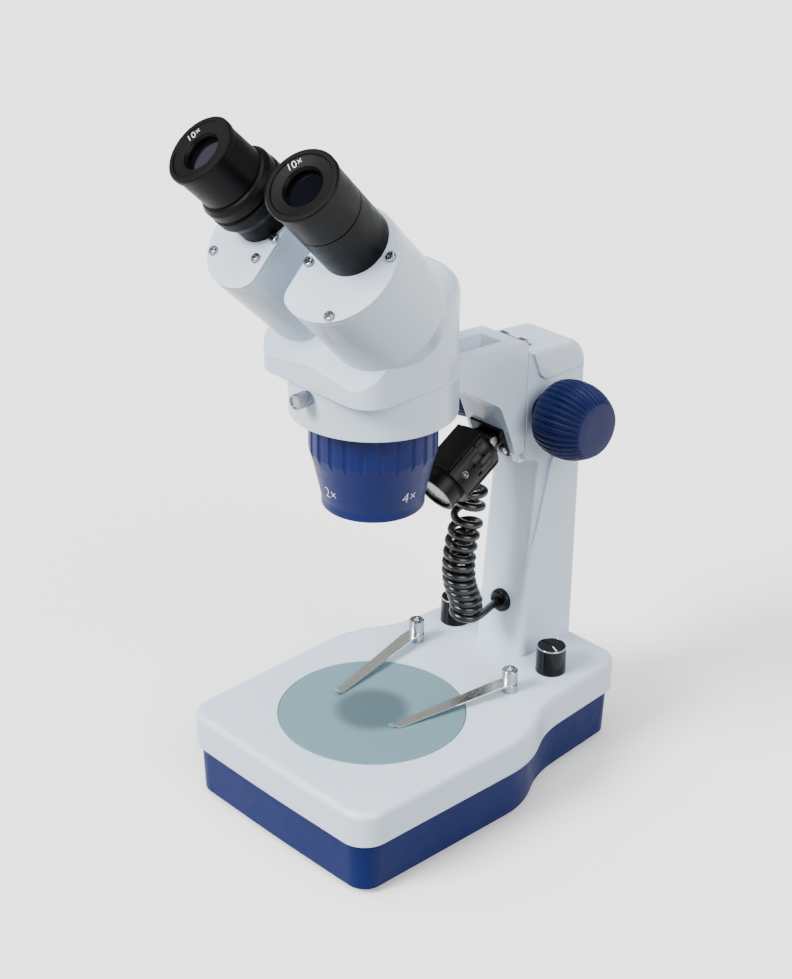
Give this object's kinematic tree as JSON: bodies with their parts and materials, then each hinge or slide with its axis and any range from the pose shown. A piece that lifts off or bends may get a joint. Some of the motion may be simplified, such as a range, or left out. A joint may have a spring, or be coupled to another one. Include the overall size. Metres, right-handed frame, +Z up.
{
  "type": "stereo microscope",
  "caption": "Binocular stereo microscope with tilted eyepieces, a turning objective turret, rack focusing and a lit stand with a frosted round stage.",
  "frame": {"origin": "under the middle of the whole microscope, on the bench", "axes": "+Z up; the user sits at -Y and looks towards +Y, where the pillar stands; +X is the user's right"},
  "size_m": [0.1372, 0.2174, 0.3597],
  "materials": {
    "pearl_paint": "smooth pearl-white enamel with a soft gloss",
    "blue_plastic": "deep blue, satin moulded",
    "zinc_steel": "zinc-plated steel",
    "rubber": "matt moulded rubber",
    "frosted_glass": "ground glass, frosted",
    "reflector": "spun and polished",
    "lamp_glass": "clear lamp glass",
    "black_moulding": "satin black moulded",
    "gloss_black": "gloss black moulded",
    "chrome": "bright nickel-chrome plate",
    "spring_steel": "polished spring steel",
    "ground_steel": "ground and oiled",
    "brass": "milled",
    "black_anodised": "satin black anodised",
    "coated_glass": "coated optical glass",
    "cord_jacket": "satin black elastomer jacket"
  },
  "bodies": {
    "base": {"base_cover": "pearl_paint", "lower_housing": "blue_plastic", "bottom_plate": "zinc_steel", "rubber_feet": "rubber", "base_screws": "zinc_steel", "substage_reflector": "reflector", "substage_bulb": "lamp_glass", "transformer": "zinc_steel", "potentiometers": "black_moulding", "power_inlet": "black_moulding", "clip_posts": "chrome", "pillar": "pearl_paint", "pillar_bolts": "zinc_steel", "pillar_grommet": "black_moulding", "shaft_bushes": "black_moulding", "slide_gibs": "ground_steel", "cord_coil": "cord_jacket", "cord_lead_pillar": "cord_jacket"},
    "stage": {"stage_plate": "frosted_glass"},
    "dimmer_left": {"dimmer_knob_left": "gloss_black"},
    "dimmer_right": {"dimmer_knob_right": "gloss_black"},
    "clip_left": {"clip_cap_left": "chrome", "clip_blade_left": "spring_steel"},
    "clip_right": {"clip_cap_right": "chrome", "clip_blade_right": "spring_steel"},
    "focus_pinion": {"pinion_shaft": "ground_steel", "focus_knob_left": "blue_plastic", "focus_knob_right": "blue_plastic"},
    "carriage": {"arm": "pearl_paint", "focus_slide": "ground_steel", "focus_rack": "brass", "lamp_bracket": "black_moulding", "lamp_bracket_screws": "zinc_steel", "lamp_pin": "ground_steel"},
    "thumb": {"thumb_screw": "chrome"},
    "lamp": {"lamp_housing": "black_moulding", "lamp_cover": "black_moulding", "lamp_lens": "coated_glass", "lamp_bulb": "lamp_glass", "cord_lead_lamp": "cord_jacket"},
    "head": {"head_casting": "pearl_paint"},
    "turret": {"turret_shell": "blue_plastic", "turret_core": "black_anodised", "objectives": "black_anodised"},
    "housing_left": {"prism_housing_left": "pearl_paint", "prisms_left": "coated_glass", "cap_plate_left": "pearl_paint", "cap_screws_left": "chrome", "eyepiece_tube_left": "black_anodised"},
    "housing_right": {"prism_housing_right": "pearl_paint", "prisms_right": "coated_glass", "cap_plate_right": "pearl_paint", "cap_screws_right": "chrome", "eyepiece_tube_right": "black_anodised"},
    "diopter": {"diopter_sleeve": "black_anodised"},
    "diopter_ring": {"diopter_ring": "black_anodised"},
    "eyepiece_left": {"eyepiece_left": "black_anodised", "eyepiece_lenses_left": "coated_glass"},
    "eyepiece_right": {"eyepiece_right": "black_anodised", "eyepiece_lenses_right": "coated_glass"}
  },
  "joints": [
    {"name": "stage_plate_turn", "type": "hinge", "parent": "base", "child": "stage", "pos_m": [0, -0.025, 0.047], "axis": [0, 0, 1], "continuous": true},
    {"name": "dimmer_left_turn", "type": "hinge", "parent": "base", "child": "dimmer_left", "pos_m": [-0.0352, 0.0701, 0.055], "axis": [0, 0, 1], "range_deg": [-140, 140]},
    {"name": "dimmer_right_turn", "type": "hinge", "parent": "base", "child": "dimmer_right", "pos_m": [0.0352, 0.0701, 0.055], "axis": [0, 0, 1], "range_deg": [-140, 140]},
    {"name": "clip_left_swing", "type": "hinge", "parent": "base", "child": "clip_left", "pos_m": [-0.0342, 0.0397, 0.055], "axis": [0, 0, 1], "range_deg": [-60, 12]},
    {"name": "clip_right_swing", "type": "hinge", "parent": "base", "child": "clip_right", "pos_m": [0.0342, 0.0397, 0.055], "axis": [0, 0, 1], "range_deg": [-12, 60]},
    {"name": "focus_travel", "type": "slide", "parent": "base", "child": "carriage", "axis": [0, 0, 1], "range_m": [-0.035, 0.005], "deforming": ["cord_coil"]},
    {"name": "focus_knob_turn", "type": "hinge", "parent": "base", "child": "focus_pinion", "pos_m": [0, 0.076, 0.191], "axis": [1, 0, 0], "range_deg": [-60, 345]},
    {"name": "thumb_screw_turn", "type": "hinge", "parent": "carriage", "child": "thumb", "pos_m": [0, -0.025, 0.234], "axis": [0, -1, 0], "range_deg": [-180, 180]},
    {"name": "lamp_tilt", "type": "hinge", "parent": "carriage", "child": "lamp", "pos_m": [0, 0.05063, 0.17743], "axis": [1, 0, 0], "range_deg": [-5, 15], "deforming": ["cord_coil"]},
    {"name": "head_turn", "type": "hinge", "parent": "carriage", "child": "head", "pos_m": [0, -0.025, 0.22], "axis": [0, 0, 1], "continuous": true},
    {"name": "turret_turn", "type": "hinge", "parent": "head", "child": "turret", "pos_m": [0, -0.025, 0.2], "axis": [0, 0, 1], "range_deg": [0, 90]},
    {"name": "housing_left_turn", "type": "hinge", "parent": "head", "child": "housing_left", "pos_m": [-0.0215, -0.0382, 0.2743], "axis": [-0.0993, -0.7036, 0.7036], "range_deg": [-15, 15]},
    {"name": "housing_right_turn", "type": "hinge", "parent": "head", "child": "housing_right", "pos_m": [0.0215, -0.0382, 0.2743], "axis": [0.0993, -0.7036, 0.7036], "range_deg": [-15, 15]},
    {"name": "diopter_travel", "type": "slide", "parent": "housing_left", "child": "diopter", "axis": [-0.0993, -0.7036, 0.7036], "range_m": [-0.0025, 0.0025]},
    {"name": "diopter_ring_turn", "type": "hinge", "parent": "diopter", "child": "diopter_ring", "pos_m": [-0.02948, -0.07285, 0.32422], "axis": [-0.0993, -0.7036, 0.7036], "range_deg": [-160, 160]},
    {"name": "eyepiece_left_pull", "type": "slide", "parent": "diopter", "child": "eyepiece_left", "axis": [-0.0993, -0.7036, 0.7036], "range_m": [0, 0.03]},
    {"name": "eyepiece_right_pull", "type": "slide", "parent": "housing_right", "child": "eyepiece_right", "axis": [0.0993, -0.7036, 0.7036], "range_m": [0, 0.03]}
  ],
  "couplings": [
    {"joint": "focus_knob_turn", "follows": "focus_travel", "rad_per_m": -166.67},
    {"joint": "diopter_ring_turn", "follows": "diopter_travel", "rad_per_m": 1047.2}
  ]
}
